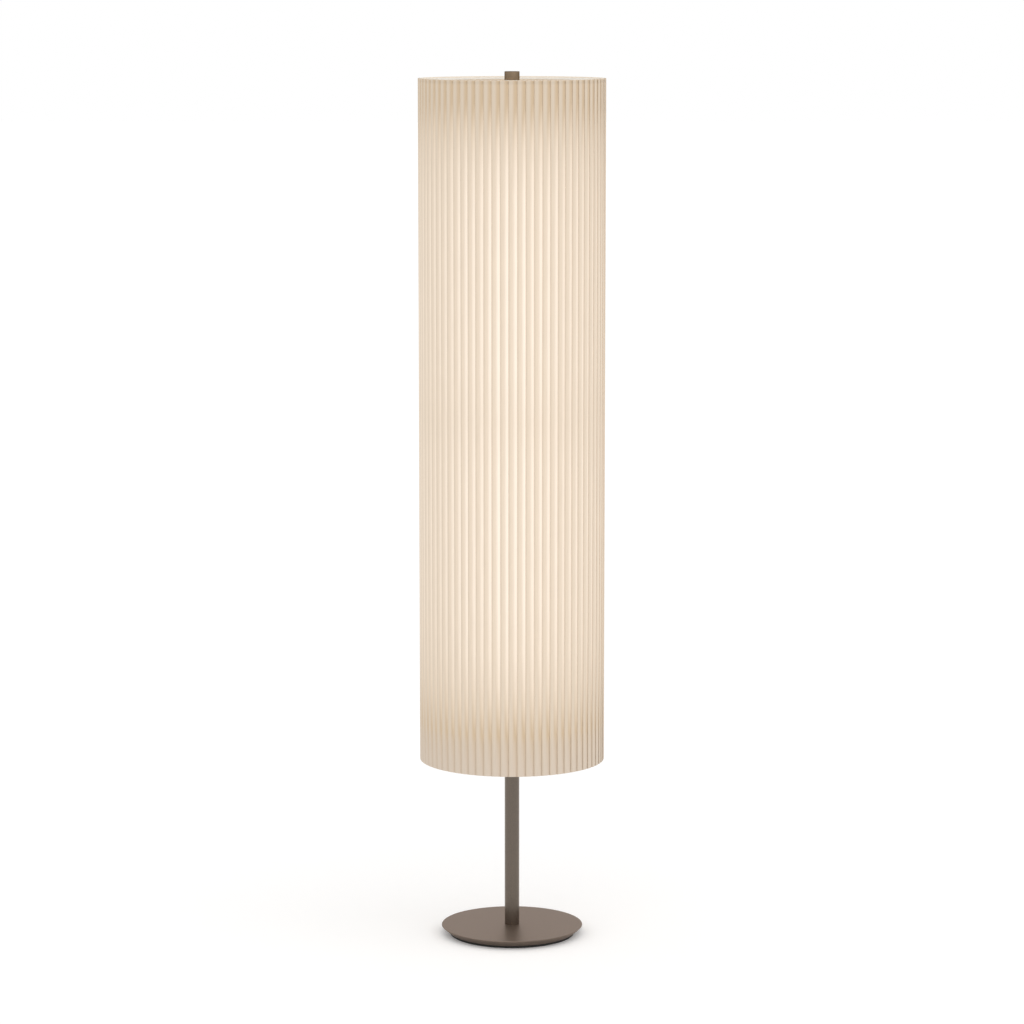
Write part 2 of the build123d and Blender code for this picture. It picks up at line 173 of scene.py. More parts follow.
def makeFloor():
    material, tree = newMaterial("paleStudioFloor")
    # Matt pale vinyl: an even white that keeps the lamp's soft contact shadow
    matt = addNode(tree, "ShaderNodeBsdfDiffuse", {"Color": hexColour(studio["floorColour"])})
    share = addNode(tree, "ShaderNodeMath", {
        0: whiteToTheEye(tree), 1: studio["floorLift"]}, operation="MULTIPLY")
    lift = addNode(tree, "ShaderNodeEmission", {"Color": (1, 1, 1, 1), "Strength": share.outputs[0]})
    both = addNode(tree, "ShaderNodeAddShader", {0: matt.outputs[0], 1: lift.outputs[0]})
    finishMaterial(tree, both.outputs[0])
    bm = bmesh.new()
    bmesh.ops.create_grid(bm, x_segments=1, y_segments=1, size=studio["floorSize"] / 2)
    mesh = bpy.data.meshes.new("studioFloor")
    bm.to_mesh(mesh)
    bm.free()
    floor = bpy.data.objects.new("studioFloor", mesh)
    mesh.materials.append(material)
    bpy.context.scene.collection.objects.link(floor)


makeWorld()
makeKey()
makeFloor()
print("studio lit")


# Metallic powder coat, bronze-taupe: sprayed and baked, a satin skin over fine metal flake.
# It mirrors the room softly in its own brown, and the bake leaves a slight orange peel.
def bronzePowderCoat(name, face, edge, roughness, clearCoat=0.0):
    material, tree = newMaterial(name)
    flakeSize, peelSize = 1.2 * mm, 4.0 * mm   # flake is finer than 0.1 mm, drawn coarse enough to show
    place = addNode(tree, "ShaderNodeTexCoord").outputs["Object"]
    flake = addNode(tree, "ShaderNodeTexNoise", {
        "Vector": place, "Scale": 1 / flakeSize, "Detail": 3.0, "Roughness": 0.7})
    peel = addNode(tree, "ShaderNodeTexNoise", {"Vector": place, "Scale": 1 / peelSize, "Detail": 1.0})
    tone = addNode(tree, "ShaderNodeMapRange", {
        "Value": flake.outputs["Fac"], "From Min": 0.3, "From Max": 0.7, "To Min": 0.94, "To Max": 1.07})
    colour = addNode(tree, "ShaderNodeMix", {
        "Factor": 1.0, "A": hexColour(face), "B": tone.outputs[0]}, data_type="RGBA", blend_type="MULTIPLY")
    gloss = addNode(tree, "ShaderNodeMapRange", {
        "Value": flake.outputs["Fac"], "From Min": 0.3, "From Max": 0.7,
        "To Min": roughness - 0.04, "To Max": roughness + 0.05})
    bump = addNode(tree, "ShaderNodeBump", {
        "Strength": 0.25, "Distance": 0.02 * mm, "Height": peel.outputs["Fac"]})
    shader = addNode(tree, "ShaderNodeBsdfPrincipled", {
        "Base Color": colour.outputs["Result"], "Metallic": 0.9, "Roughness": gloss.outputs[0],
        "Specular Tint": hexColour(edge), "Coat Weight": clearCoat, "Coat Roughness": 0.18,
        "Normal": bump.outputs[0]})
    finishMaterial(tree, shader.outputs[0])
    return material


# Plain moulded or painted surfaces: one base colour with a fine grain in tone, gloss and relief
def grainedSurface(name, colour, roughness, grain, depth, vary, metallic=0.0, **sockets):
    material, tree = newMaterial(name)
    place = addNode(tree, "ShaderNodeTexCoord").outputs["Object"]
    texture = addNode(tree, "ShaderNodeTexNoise", {
        "Vector": place, "Scale": 1 / grain, "Detail": 4.0, "Roughness": 0.6})
    tone = addNode(tree, "ShaderNodeMapRange", {
        "Value": texture.outputs["Fac"], "From Min": 0.3, "From Max": 0.7,
        "To Min": 1 - vary, "To Max": 1 + vary})
    tint = addNode(tree, "ShaderNodeMix", {
        "Factor": 1.0, "A": hexColour(colour), "B": tone.outputs[0]}, data_type="RGBA", blend_type="MULTIPLY")
    gloss = addNode(tree, "ShaderNodeMapRange", {
        "Value": texture.outputs["Fac"], "From Min": 0.3, "From Max": 0.7,
        "To Min": max(roughness - 0.06, 0.02), "To Max": min(roughness + 0.06, 1.0)})
    bump = addNode(tree, "ShaderNodeBump", {
        "Strength": 0.4, "Distance": depth, "Height": texture.outputs["Fac"]})
    inputs = {"Base Color": tint.outputs["Result"], "Metallic": metallic, "Roughness": gloss.outputs[0],
              "Normal": bump.outputs[0]}
    inputs.update(sockets)
    shader = addNode(tree, "ShaderNodeBsdfPrincipled", inputs)
    finishMaterial(tree, shader.outputs[0])
    return material


bronze = bronzePowderCoat("bronzePowderCoat", "#7e7167", "#efe5df", 0.42)
stemBronze = bronzePowderCoat("stemPowderCoat", "#665c52", "#f0e8e0", 0.28, clearCoat=0.5)
# The finial's copy of the same bronze coat, painted warmer: painted warm light from inside the shade, with a
# darker edge tint
knobBronzeWarmLit = bronzePowderCoat("knobPowderCoatWarmLit", "#84735f", "#6a5848", 0.42)
# White powder coat, sprayed on steel wire and sheet: even, satin, a faint orange peel
whiteCoat = grainedSurface("whitePowderCoat", "#e9e6e0", 0.42, 3.0 * mm, 0.03 * mm, 0.02)
# Zinc-plated steel: bright, cool and slightly cloudy from the bath
zincSteel = grainedSurface("zincPlatedSteel", "#b9bcc0", 0.32, 1.5 * mm, 0.01 * mm, 0.08, metallic=1.0)
# Nitrile rubber, moulded: near black, matt, faint bloom
rubber = grainedSurface("nitrileRubber", "#1d1c1b", 0.72, 0.8 * mm, 0.05 * mm, 0.12)
# Polycarbonate, injection moulded in white with a fine spark-eroded texture
whitePlastic = grainedSurface("mouldedPolycarbonate", "#efece6", 0.38, 0.6 * mm, 0.02 * mm, 0.015)
# Frosted soda-lime glass with light inside: a soft even glow, kept below white so that its edge shows
frostedGlass = grainedSurface("frostedTubeGlass", "#ddd5c6", 0.45, 1.0 * mm, 0.01 * mm, 0.01,
                              **{"Emission Color": hexColour("#ffe3b8"), "Emission Strength": 0.16})
# Glass-fibre board, white solder mask
board = grainedSurface("whiteSolderMask", "#e4e4de", 0.35, 2.0 * mm, 0.01 * mm, 0.03)
# PVC sheath, extruded: smooth, soft sheen
sheath = grainedSurface("pvcSheath", "#d9d6cf", 0.45, 2.0 * mm, 0.02 * mm, 0.02)


# Light in the shade: how much of the tubes' light reaches the cloth at a height and round it
light = {
    "beyondFoot": 0.078,      # metres that the glow reaches below the lower tubes
    "beyondHead": 0.063,      # and above the upper ones
    "footFade": 0.083,        # metres over which the glow comes up through one layer
    "headFade": 0.070,
    "foldedFade": 0.105,      # and through the folds, where it starts later
    "foldedDelay": 0.022,
    "gapDip": 0.10,           # loss between the two tiers
    "gapWidth": 0.055,
    "sideShare": 0.68,        # level at the sides, where both tubes of a tier lie further off
    "flame": 0.10,            # how much later the glow starts away from flameAt, metres a pitch
    "flameAt": 0.88,          # where across a pleat it starts first
    "strayStart": 0.009,      # how far its start strays from pleat to pleat
    "easeIn": 1.1,            # above 1 it starts more gently
    "sideCurve": 4,           # higher keeps it nearer to the front and rear
}
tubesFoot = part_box("lower_front_tube_caps")[0].z
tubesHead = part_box("upper_front_tube_caps")[1].z
tubesGap = (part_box("lower_front_tube_caps")[1].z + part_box("upper_front_tube_caps")[0].z) / 2
shadeLow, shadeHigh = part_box("shade_liner")


def rise(run, fade):
    return 1 - math.exp(-((run / fade) ** light["easeIn"])) if run > 0 else 0.0


# Level at a height; towards is 1 straight in front of or behind the tubes and 0 at the sides
def tubeGlow(height, towards, late, fade=None):
    fromFoot = height - (tubesFoot - light["beyondFoot"]) - late
    fromHead = tubesHead + light["beyondHead"] - height - late
    level = rise(fromFoot, fade or light["footFade"]) * rise(fromHead, fade or light["headFade"])
    level *= 1 - light["gapDip"] * math.exp(-(((height - tubesGap) / light["gapWidth"]) ** 2))
    return level * (light["sideShare"] + (1 - light["sideShare"]) * towards ** light["sideCurve"])


# Woven polyester-cotton shade cloth, pleated and heat set: matt and slightly translucent.
# Where it lies three deep it is greyer and stops the light, and a single layer glows warm.
clothLook = {
    # across a pleat, from its outer fold to the next: colour, light let through and that light's colour
    # its colours hold painted shade: darker and browner over the single layer, where the dark inside shows
    # through
    "across": [(0.0, "#dac7b0"), (0.10, "#d9c7b1"), (0.22, "#dbccb8"), (0.42, "#dbcab5"),
               (0.58, "#d5c0a6"), (0.72, "#d2bb9d"), (0.90, "#d3bc9e"), (1.0, "#d6c1a5")],
    "through": [(0.0, 0.08), (0.10, 0.08), (0.22, 0.13), (0.42, 0.18), (0.50, 0.21),
                (0.60, 0.31), (0.70, 0.41), (0.80, 0.46), (0.93, 0.46), (1.0, 0.34)],
    "glow": [(0.0, "#f8fbff"), (0.16, "#ffebdb"), (0.40, "#ffebdb"), (0.56, "#f8fbff")],
    "topBandShade": 0.93,         # tone of the darker band below the top
    "notchShade": 0.78,       # and painted shade in the open end of a fold in it
    "topBandFrom": 1.3 * mm,      # the cut edge above it stays bright
    "topBandMiddle": 4.5 * mm,
    "topBandUntil": 9.5 * mm,
    # colour across a pleat near the foot, where light from the floor evens it out
    "acrossFoot": [(0.0, "#cdbba7"), (0.12, "#d4c4b1"), (0.25, "#d7c8b7"),
                   (0.72, "#d7c7b6"), (0.90, "#d0beaa"), (1.0, "#cbb8a3")],
    "footFrom": 75 * mm,      # height over which it fades in
    "threadPitch": 0.9 * mm,  # threads are 0.35 mm apart, drawn coarser to show
    "slubWidth": 1.4 * mm,
    "slubLength": 60 * mm,
    "weaveDepth": 0.12 * mm,
}


def hexStops(stops):
    return [(place, hexColour(colour)) for place, colour in stops]


def pleatedCloth():
    material, tree = newMaterial("pleatedShadeCloth")
    look = clothLook
    phase = addNode(tree, "ShaderNodeAttribute", attribute_name="phase").outputs["Fac"]
    glow = addNode(tree, "ShaderNodeAttribute", attribute_name="glow").outputs["Fac"]
    edge = addNode(tree, "ShaderNodeAttribute", attribute_name="edge").outputs["Fac"]
    foot = addNode(tree, "ShaderNodeAttribute", attribute_name="foot").outputs["Fac"]
    uv = addNode(tree, "ShaderNodeUVMap", uv_map="cloth").outputs["UV"]
    # Colour across one pleat, from its outer fold to the valley before the next, with painted shade: darker
    # and browner over the single layer
    across = addNode(tree, "ShaderNodeValToRGB", {"Fac": phase})
    rampStops(across, hexStops(look["across"]))
    nearFoot = addNode(tree, "ShaderNodeValToRGB", {"Fac": phase})
    rampStops(nearFoot, hexStops(look["acrossFoot"]))
    # Weave: fine threads both ways, and slubs along the height
    threads = addNode(tree, "ShaderNodeMapping", {"Vector": uv})
    threads.inputs["Scale"].default_value = (1 / look["threadPitch"], 1 / look["threadPitch"], 1)
    weave = addNode(tree, "ShaderNodeTexNoise", {
        "Vector": threads.outputs[0], "Scale": 1.0, "Detail": 2.0, "Roughness": 0.6})
    slubPlace = addNode(tree, "ShaderNodeMapping", {"Vector": uv})
    slubPlace.inputs["Scale"].default_value = (1 / look["slubWidth"], 1 / look["slubLength"], 1)
    slubs = addNode(tree, "ShaderNodeTexNoise", {
        "Vector": slubPlace.outputs[0], "Scale": 1.0, "Detail": 3.0, "Roughness": 0.5})
    grain = addNode(tree, "ShaderNodeMath", {
        0: weave.outputs["Fac"], 1: slubs.outputs["Fac"]}, operation="ADD")
    tone = addNode(tree, "ShaderNodeMapRange", {
        "Value": grain.outputs[0], "From Min": 0.7, "From Max": 1.3, "To Min": 0.955, "To Max": 1.045})
    # A darker band below the top edge, with painted shade in the open end of each fold
    notch = addNode(tree, "ShaderNodeMapRange", {
        "Value": phase, "From Min": 0.72, "From Max": 0.95,
        "To Min": look["topBandShade"], "To Max": look["notchShade"]})
    topBand = addNode(tree, "ShaderNodeMapRange", {
        "Value": edge, "From Min": 0.0, "From Max": 1.0, "To Min": 1.0})
    tree.links.new(notch.outputs[0], topBand.inputs["To Max"])
    colour = addNode(tree, "ShaderNodeMix", {
        "Factor": foot, "A": across.outputs["Color"], "B": nearFoot.outputs["Color"]},
        data_type="RGBA").outputs["Result"]
    for share in (tone, topBand):
        colour = addNode(tree, "ShaderNodeMix", {"Factor": 1.0, "A": colour, "B": share.outputs[0]},
                         data_type="RGBA", blend_type="MULTIPLY").outputs["Result"]
    # Light coming through: strong and warm through one layer, weak through three
    through = addNode(tree, "ShaderNodeValToRGB", {"Fac": phase})
    rampStops(through, greys(look["through"]))
    warm = addNode(tree, "ShaderNodeValToRGB", {"Fac": phase})
    rampStops(warm, hexStops(look["glow"]))
    level = addNode(tree, "ShaderNodeMath", {
        0: through.outputs["Color"], 1: glow}, operation="MULTIPLY")
    level = addNode(tree, "ShaderNodeMath", {
        0: level.outputs[0], 1: tone.outputs[0]}, operation="MULTIPLY")
    emitted = addNode(tree, "ShaderNodeMix", {
        "Factor": 1.0, "A": warm.outputs["Color"], "B": level.outputs[0]},
        data_type="RGBA", blend_type="MULTIPLY").outputs["Result"]
    bump = addNode(tree, "ShaderNodeBump", {
        "Strength": 0.35, "Distance": look["weaveDepth"], "Height": grain.outputs[0]})
    shader = addNode(tree, "ShaderNodeBsdfPrincipled", {
        "Base Color": colour, "Roughness": 0.88, "Sheen Weight": 0.05, "Sheen Roughness": 0.5,
        "Specular IOR Level": 0.2, "Emission Color": emitted, "Emission Strength": 1.0,
        "Normal": bump.outputs[0]})
    finishMaterial(tree, shader.outputs[0])
    return material


# The shade's pleats: one strip of cloth folded into knife pleats, glued round the liner
pleats = {
    "count": 70,
    "lap": 0.42,              # share of a pitch that lies three layers deep
    "firstFold": 0.62,        # where the first outer fold lies, in pitches from the front
    "outer": 174.75 * mm,     # radius of the cloth's middle line on the outer layer
    "layerStep": 0.62 * mm,
    "cloth": 0.35 * mm,
    # rows of the mesh in mm, close together where the glow starts
    "fromHead": (0, 1.5, 4.5, 9.5, 20, 42, 56, 70, 86, 104, 128, 162, 214, 290),
    "fromFoot": (0, 14, 30, 45, 60, 76, 90, 108, 134, 170, 230, 320),
    "middle": (-210, -92, -42, 0, 42, 92, 200),
    "noseRise": 1.1 * mm,     # the folds' outer noses end this much above the valleys
    "uneven": 0.5 * mm,       # how far a fold's place strays
    "wave": 0.14 * mm,        # slow waviness of a fold along its height
    "swell": 0.15 * mm,       # and of the lap's radius
    "shine": 0.05,            # how far a pleat's glow strays
    "sag": 1.3,               # above 1 the single layer keeps out near the lap
    "seed": 11,
}


# (place in pitches, radius, phase, is the next pleat's) along one pleat's cloth
def pleatProfile():
    pitch = 2 * math.pi * pleats["outer"] / pleats["count"]
    outer, step, lap = pleats["outer"], pleats["layerStep"], pleats["lap"]
    inner, bend = outer - 2 * step, step / 2
    points = []
    for turn in (-90, -180, -270):                  # the outer fold, from the middle layer up
        t = math.radians(turn)
        points.append(((bend + bend * math.cos(t)) / pitch, outer - bend + bend * math.sin(t), 0.0, 0.0))
    for q in (0.08, 0.18, 0.32, lap, 0.51, 0.60, 0.69, 0.77, 0.85, 0.92, 0.97, 1.03):
        past = min(max((q - lap) / (1 - lap), 0), 1)
        points.append((q, outer - 2 * step * past ** pleats["sag"], min(q, 1.0), past))
    points.append((1.2, inner, 1.2, 1.0))
    for turn in (-90, 0, 90):                       # the hidden inner fold, back to the middle layer
        t = math.radians(turn)
        points.append((1 + lap + (bend * math.cos(t) - bend) / pitch,
                       inner + bend + bend * math.sin(t), 1.4, 1.0))
    points.append((1.18, inner + step, 1.6, 1.0))
    return points


def makePleats(material):
    rng = random.Random(pleats["seed"])
    count, outer = pleats["count"], pleats["outer"]
    strayAt = {end: [rng.uniform(-1, 1) * pleats["uneven"] for _ in range(count)] for end in (0, 1)}
    shine = [rng.uniform(1 - pleats["shine"], 1 + pleats["shine"]) for _ in range(count)]
    start = [rng.uniform(-1, 1) * light["strayStart"] for _ in range(count)]
    profile = pleatProfile()
    low, high = shadeLow.z, shadeHigh.z
    heights = [low + run * mm for run in pleats["fromFoot"]]
    heights += [tubesGap + run * mm for run in pleats["middle"]]
    heights += [high - run * mm for run in reversed(pleats["fromHead"])]

    def stray(pleat, level):
        pleat = pleat % count
        straight = strayAt[0][pleat] * (1 - level) + strayAt[1][pleat] * level
        wave = noise.noise(Vector((pleat * 7.3, level * 3.1, 0.5))) * pleats["wave"] * 8 * level * (1 - level)
        return straight + wave

    def place(column, height):
        pleat, index = divmod(column, len(profile))
        q, radius, phase, follows = profile[index]
        level = (height - low) / (high - low)
        shift = stray(pleat, level) * (1 - follows) + stray(pleat + 1, level) * follows
        turn = 2 * math.pi * (q + pleat + pleats["firstFold"]) / count + shift / outer - math.pi / 2
        if phase < 0.6:
            radius += noise.noise(Vector((pleat * 3.7, level * 2.3, 4.0))) * pleats["swell"]
        if height == high:
            height -= pleats["noseRise"] * (0.1 + min(max((phase - 0.3) / 0.6, 0), 1))
        return Vector((radius * math.cos(turn), radius * math.sin(turn), height))

    # 1 on the darker band below the top edge, 0 above and below it
    def topBandWeight(depth):
        start, middle, end = clothLook["topBandFrom"], clothLook["topBandMiddle"], clothLook["topBandUntil"]
        return max(min((depth - start) / (middle - start), (end - depth) / (end - middle)), 0)

    bm = bmesh.new()
    columnOf = bm.verts.layers.int.new("column")
    total = count * len(profile)
    ring = []
    for column in range(total):
        vert = bm.verts.new(place(column, heights[0]))
        vert[columnOf] = column
        ring.append(vert)
    edges = [bm.edges.new((ring[i], ring[(i + 1) % total])) for i in range(total)]
    for height in heights[1:]:
        grown = bmesh.ops.extrude_edge_only(bm, edges=edges)["geom"]
        edges = [g for g in grown if isinstance(g, bmesh.types.BMEdge)]
        for vert in grown:
            if isinstance(vert, bmesh.types.BMVert):
                vert.co = place(vert[columnOf], height)
    # Phase across the pleat, light reaching it and nearness of the rims, for the cloth's material
    phaseOf = bm.verts.layers.float.new("phase")
    glowOf = bm.verts.layers.float.new("glow")
    edgeOf = bm.verts.layers.float.new("edge")
    footOf = bm.verts.layers.float.new("foot")
    for vert in bm.verts:
        pleat, index = divmod(vert[columnOf], len(profile))
        phase = profile[index][2]
        towards = abs(vert.co.y) / math.hypot(vert.co.x, vert.co.y)
        if 0.46 < phase <= 1.0:              # the single layer
            late = light["flame"] * abs(phase - light["flameAt"]) + start[pleat]
            glow = tubeGlow(vert.co.z, towards, late)
        else:
            glow = tubeGlow(vert.co.z, towards, light["foldedDelay"], light["foldedFade"])
        vert[phaseOf] = phase
        vert[glowOf] = glow * shine[pleat]
        vert[edgeOf] = topBandWeight(high - vert.co.z)
        vert[footOf] = max(1 - (vert.co.z - low) / clothLook["footFrom"], 0) ** 0.5
    # Developed place on the flat cloth, in metres
    along = [0.0]
    for column in range(1, total + 1):
        along.append(along[-1] + (place(column % total, low) - place(column - 1, low)).length)
    uv = bm.loops.layers.uv.new("cloth")
    for face in bm.faces:
        columns = [loop.vert[columnOf] for loop in face.loops]
        wraps = max(columns) - min(columns) > 1
        for loop in face.loops:
            column = loop.vert[columnOf]
            u = along[total] if wraps and column == 0 else along[column]
            loop[uv].uv = (u, loop.vert.co.z)
        face.smooth = True
    for edge in bm.edges:
        edge.smooth = not edge.is_boundary       # keeps the cut rims crisp
    bmesh.ops.recalc_face_normals(bm, faces=bm.faces[:])
    mesh = bpy.data.meshes.new("shadePleats")
    bm.to_mesh(mesh)
    bm.free()
    piece = bpy.data.objects.new("shadePleats", mesh)
    bpy.context.scene.collection.objects.link(piece)
    mesh.materials.append(material)
    wall = piece.modifiers.new("clothThickness", "SOLIDIFY")
    wall.thickness = pleats["cloth"]
    wall.offset = 0
    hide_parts("shade_pleats")
    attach(piece, "shade")
    print("pleats folded,", round(along[total], 3), "m of cloth")


makePleats(pleatedCloth())


# Opal polyester film, calendered: milky, with faint streaks, and lit from inside by the tubes
linerLook = {
    "colour": "#efe6d8",
    "glowColour": "#fff1e4",
    # level from the foot to the top
    "glow": [(0.0, 0.04), (0.04, 0.07), (0.12, 0.22), (0.24, 0.30),
             (0.80, 0.30), (0.90, 0.20), (0.97, 0.07), (1.0, 0.07)],
    "streak": 6.0 * mm,       # width of the faint streaks, which run up it
    "streakRate": 6,          # a metre of height
}


def opalFilm():
    material, tree = newMaterial("opalPolyesterFilm")
    place = addNode(tree, "ShaderNodeTexCoord").outputs["Object"]
    height = addNode(tree, "ShaderNodeSeparateXYZ", {"Vector": place})
    level = addNode(tree, "ShaderNodeMapRange", {
        "Value": height.outputs["Z"], "From Min": shadeLow.z, "From Max": shadeHigh.z,
        "To Min": 0.0, "To Max": 1.0})
    glow = addNode(tree, "ShaderNodeValToRGB", {"Fac": level.outputs[0]})
    rampStops(glow, greys(linerLook["glow"]))
    streaks = addNode(tree, "ShaderNodeMapping", {"Vector": place})
    perMetre = 1 / linerLook["streak"]
    streaks.inputs["Scale"].default_value = (perMetre, perMetre, linerLook["streakRate"])
    texture = addNode(tree, "ShaderNodeTexNoise", {
        "Vector": streaks.outputs[0], "Scale": 1.0, "Detail": 3.0})
    tone = addNode(tree, "ShaderNodeMapRange", {
        "Value": texture.outputs["Fac"], "From Min": 0.3, "From Max": 0.7,
        "To Min": 0.98, "To Max": 1.02})
    colour = addNode(tree, "ShaderNodeMix", {
        "Factor": 1.0, "A": hexColour(linerLook["colour"]), "B": tone.outputs[0]},
        data_type="RGBA", blend_type="MULTIPLY")
    emitted = addNode(tree, "ShaderNodeMix", {
        "Factor": 1.0, "A": hexColour(linerLook["glowColour"]), "B": glow.outputs["Color"]},
        data_type="RGBA", blend_type="MULTIPLY")
    bump = addNode(tree, "ShaderNodeBump", {
        "Strength": 0.3, "Distance": 0.02 * mm, "Height": texture.outputs["Fac"]})
    shader = addNode(tree, "ShaderNodeBsdfPrincipled", {
        "Base Color": colour.outputs["Result"], "Roughness": 0.5,
        "Emission Color": emitted.outputs["Result"], "Emission Strength": 1.0,
        "Normal": bump.outputs[0]})
    finishMaterial(tree, shader.outputs[0])
    return material


linerFilm = opalFilm()


# Turned shapes: (radius, height) points spun round Z, then put in place
def turned(bm, points, steps=48, place=None, closed=False):
    older = set(bm.verts)
    verts = [bm.verts.new((radius, 0, height)) for radius, height in points]
    pairs = list(zip(verts, verts[1:])) + ([(verts[-1], verts[0])] if closed else [])
    edges = [bm.edges.new(pair) for pair in pairs]
    bmesh.ops.spin(bm, geom=verts + edges, cent=(0, 0, 0), axis=(0, 0, 1), angle=2 * math.pi,
                   steps=steps, use_merge=True)
    made = [v for v in bm.verts if v not in older]
    bmesh.ops.remove_doubles(bm, verts=made, dist=1e-6)
    made = [v for v in bm.verts if v not in older]
    if place:
        bmesh.ops.transform(bm, matrix=place, verts=made)
    return made


def finishedPiece(name, bm, material, body, slotName, *replaced, sharp=32):
    bmesh.ops.recalc_face_normals(bm, faces=bm.faces[:])
    for face in bm.faces:
        face.smooth = True
    mesh = bpy.data.meshes.new(name)
    bm.to_mesh(mesh)
    bm.free()
    mesh.set_sharp_from_angle(angle=math.radians(sharp))
    mesh.materials.append(material)
    piece = bpy.data.objects.new(name, mesh)
    bpy.context.scene.collection.objects.link(piece)
    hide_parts(*replaced)
    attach(piece, body)
    return piece


# Puts a turned shape's foot at a place and points its axis along a direction
def pointing(x, y, z, direction):
    turn = Vector(direction).to_track_quat("Z", "Y").to_matrix().to_4x4()
    return Matrix.Translation((x, y, z)) @ turn


# Foot ring: moulded rubber with rounded lips and grip grooves underneath
footRing = {
    "width": 7 * mm,
    "lip": 0.9 * mm,
    "grooves": 3,
    "grooveWidth": 0.8 * mm,
    "grooveDepth": 0.5 * mm,
}


def makeFootRing():
    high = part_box("foot_ring")[1]
    outer, top = high.x, high.z
    inner, lip = outer - footRing["width"], footRing["lip"]
    points = [(inner, top), (outer, top), (outer, lip), (outer - 0.3 * lip, 0.3 * lip), (outer - lip, 0)]
    width, depth = footRing["grooveWidth"], footRing["grooveDepth"]
    for i in range(footRing["grooves"]):
        middle = outer - (i + 1) * (outer - inner) / (footRing["grooves"] + 1)
        points += [(middle + width / 2, 0), (middle + width / 3, depth),
                   (middle - width / 3, depth), (middle - width / 2, 0)]
    points += [(inner + lip, 0), (inner + 0.3 * lip, 0.3 * lip), (inner, lip)]
    bm = bmesh.new()
    turned(bm, points, steps=128, closed=True)
    finishedPiece("footRing", bm, rubber, "stand", "black_rubber", "foot_ring")


# Cord gland: moulded rubber grommet, ribbed behind a rounded flange
cordGland = {
    "bore": 2.9 * mm,
    "body": 4.0 * mm,
    "flangeDepth": 2.6 * mm,
    "rib": 0.35 * mm,
    "ribStarts": (1.5, 4.0, 6.5, 9.0),        # mm from its inner end
    "flangeEase": 1.0 * mm,
    "mouthEase": 0.6 * mm,
}


def makeCordGland():
    low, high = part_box("cord_gland")
    run, flange = high.y - low.y, high.x
    bore, body, rib = cordGland["bore"], cordGland["body"], cordGland["rib"]
    foot = run - cordGland["flangeDepth"]
    points = [(bore, 0), (body - rib, 0)]
    ease, mouth = cordGland["flangeEase"], cordGland["mouthEase"]
    for start in cordGland["ribStarts"]:
        points += [(body - rib, start * mm), (body, (start + 0.5) * mm),
                   (body, (start + 1.3) * mm), (body - rib, (start + 1.8) * mm)]
    points += [(body, foot - 2 * mm), (body, foot), (flange, foot), (flange, run - ease),
               (flange - 0.3 * mm, run - 0.3 * mm), (flange - ease, run), (bore + mouth, run),
               (bore, run - mouth)]
    bm = bmesh.new()
    place = pointing(0, low.y, (low.z + high.z) / 2, (0, 1, 0))
    turned(bm, points, steps=40, place=place, closed=True)
    finishedPiece("cordGland", bm, rubber, "stand", "black_rubber", "cord_gland")


# Small steel screws: a domed head with a cross recess, and a plain shank
screwLook = {
    "headHeight": 1.6 * mm,
    "recess": 0.55,           # share of the head's radius
    "recessDepth": 0.9 * mm,
    "armWidth": 0.36,         # how far the recess's corners pull in
    # radius of the head and of the shank
    "large": (2.6 * mm, 1.5 * mm),
    "small": (2.2 * mm, 1.25 * mm),
    "length": 10 * mm,
    "coverCircle": 45 * mm,   # radius on which the cover's screws lie
    "coverAngles": (60, 180, 300),
    "holderSeat": 29 * mm,    # from the stem's axis
    "holderSpread": 12 * mm,  # either side of a holder's middle
    "bracketRise": 2 * mm,    # thickness of a bracket on its collar
    "bracketSpread": 16.5 * mm,
}


def addScrew(bm, place, head, shank, length):
    height, deep = screwLook["headHeight"], screwLook["recessDepth"]
    arm = head * screwLook["recess"]
    points = [(0, height - deep), (0.7 * arm, height - deep), (arm, height),
              (0.78 * head, 0.98 * height), (0.93 * head, 0.72 * height), (head, 0.35 * height),
              (head, 0), (shank, 0), (shank, 0.4 * mm - length), (shank - 0.4 * mm, -length),
              (0, -length)]
    made = turned(bm, points, steps=16)
    for vert in made:            # twelve of sixteen recess points go in, which leaves a cross
        radius = math.hypot(vert.co.x, vert.co.y)
        inRecess = vert.co.z > 0 and (abs(radius - arm) < 1e-6 or abs(radius - 0.7 * arm) < 1e-6)
        if inRecess and round(math.degrees(math.atan2(vert.co.y, vert.co.x)) / 22.5) % 4:
            vert.co.x *= screwLook["armWidth"]
            vert.co.y *= screwLook["armWidth"]
    bmesh.ops.transform(bm, matrix=place, verts=made)


def makeScrews():
    bm = bmesh.new()
    large, small = screwLook["large"], screwLook["small"]
    circle, length = screwLook["coverCircle"], screwLook["length"]
    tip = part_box("cover_screws")[1].z
    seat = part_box("base_cover")[0].z
    for angle in screwLook["coverAngles"]:
        turn = math.radians(angle)
        place = pointing(circle * math.cos(turn), circle * math.sin(turn), seat, (0, 0, -1))
        addScrew(bm, place, *large, tip - seat)
    finishedPiece("coverScrews", bm, zincSteel, "stand", "bright_steel", "cover_screws")
    bm = bmesh.new()
    for tier in ("lower", "upper"):
        for end in ("foot", "head"):
            for side, out in (("front", -1), ("rear", 1)):
                low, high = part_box(f"{tier}_{side}_{end}_holder")
                middle, spread = (low.z + high.z) / 2, screwLook["holderSpread"]
                for step in (-spread, spread):
                    place = pointing(0, out * screwLook["holderSeat"], middle + step, (0, -out, 0))
                    addScrew(bm, place, *large, length)
    finishedPiece("holderScrews", bm, zincSteel, "stand", "bright_steel", "holder_screws")
    bm = bmesh.new()
    for tier in ("lower", "upper"):
        for end in ("foot", "head"):
            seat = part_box(f"{tier}_{end}_collar")[1].z + screwLook["bracketRise"]
            for x in (-screwLook["bracketSpread"], screwLook["bracketSpread"]):
                addScrew(bm, pointing(x, 0, seat, (0, 0, 1)), *small, length)
    finishedPiece("bracketScrews", bm, zincSteel, "stand", "bright_steel", "bracket_screws")


